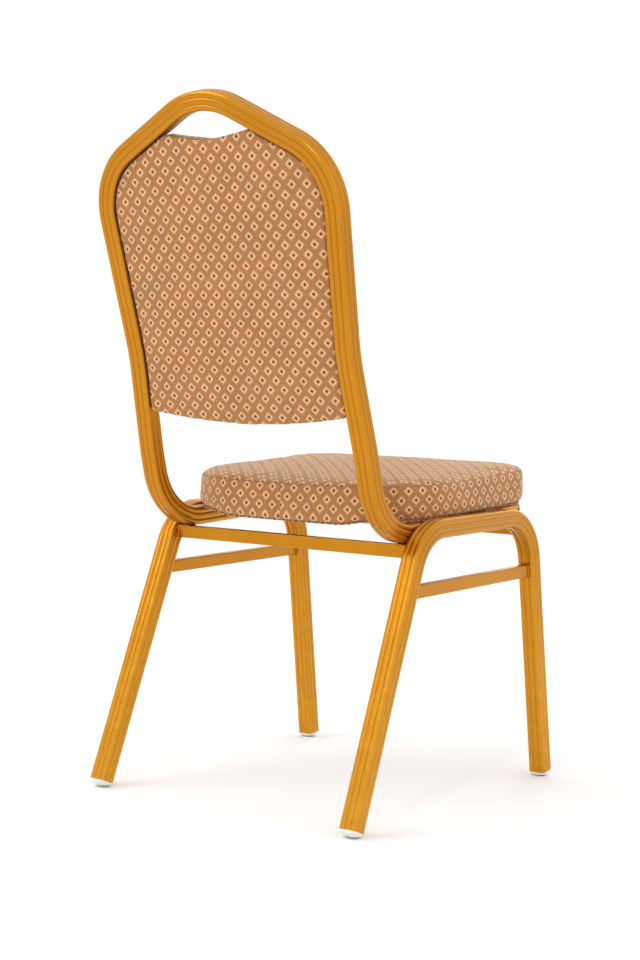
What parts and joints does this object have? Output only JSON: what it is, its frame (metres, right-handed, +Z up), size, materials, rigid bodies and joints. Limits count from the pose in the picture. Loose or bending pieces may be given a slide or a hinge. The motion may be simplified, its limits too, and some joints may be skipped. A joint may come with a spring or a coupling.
{
  "type": "stacking chair",
  "caption": "Armless stacking banquet chair: welded ribbed square-tube frame with a peaked back loop and hand-hold, padded seat and back in patterned fabric.",
  "frame": {"origin": "on the floor at the middle of the bounding box", "axes": "+Z up, -Y the front of the chair, +X the sitter's left"},
  "size_m": [0.4398, 0.5812, 0.9195],
  "materials": {
    "frame_paint": "semi-gloss gold paint",
    "glide_nylon": "moulded white nylon",
    "plug_black": "moulded black plastic",
    "plywood": "bare plywood",
    "hardboard": "bare hardboard",
    "foam": "open-cell foam",
    "fabric": "woven jacquard with small diamonds",
    "dust_cloth": "non-woven black cloth",
    "zinc": "zinc plated"
  },
  "bodies": {
    "root": {"back_frame_tube": "frame_paint", "leg_frame_left": "frame_paint", "leg_frame_right": "frame_paint", "rear_crossbar": "frame_paint", "front_crossbar": "frame_paint", "side_stretcher_left": "frame_paint", "side_stretcher_right": "frame_paint", "seat_mounting_tabs": "frame_paint", "back_mounting_ears": "frame_paint", "run_end_plugs": "plug_black", "foot_glide_front_left": "glide_nylon", "foot_glide_front_right": "glide_nylon", "foot_glide_rear_left": "glide_nylon", "foot_glide_rear_right": "glide_nylon", "seat_board": "plywood", "seat_t_nuts": "zinc", "seat_foam": "foam", "seat_cover": "fabric", "seat_dust_cover": "dust_cloth", "seat_staples": "zinc", "seat_screws": "zinc", "seat_washers": "zinc", "back_board": "plywood", "back_foam": "foam", "back_front_cover": "fabric", "back_ear_screws": "zinc", "back_staples": "zinc", "rear_panel_board": "hardboard", "rear_panel_padding": "foam", "rear_panel_cover": "fabric", "rear_panel_clips": "plug_black"}
  },
  "joints": []
}
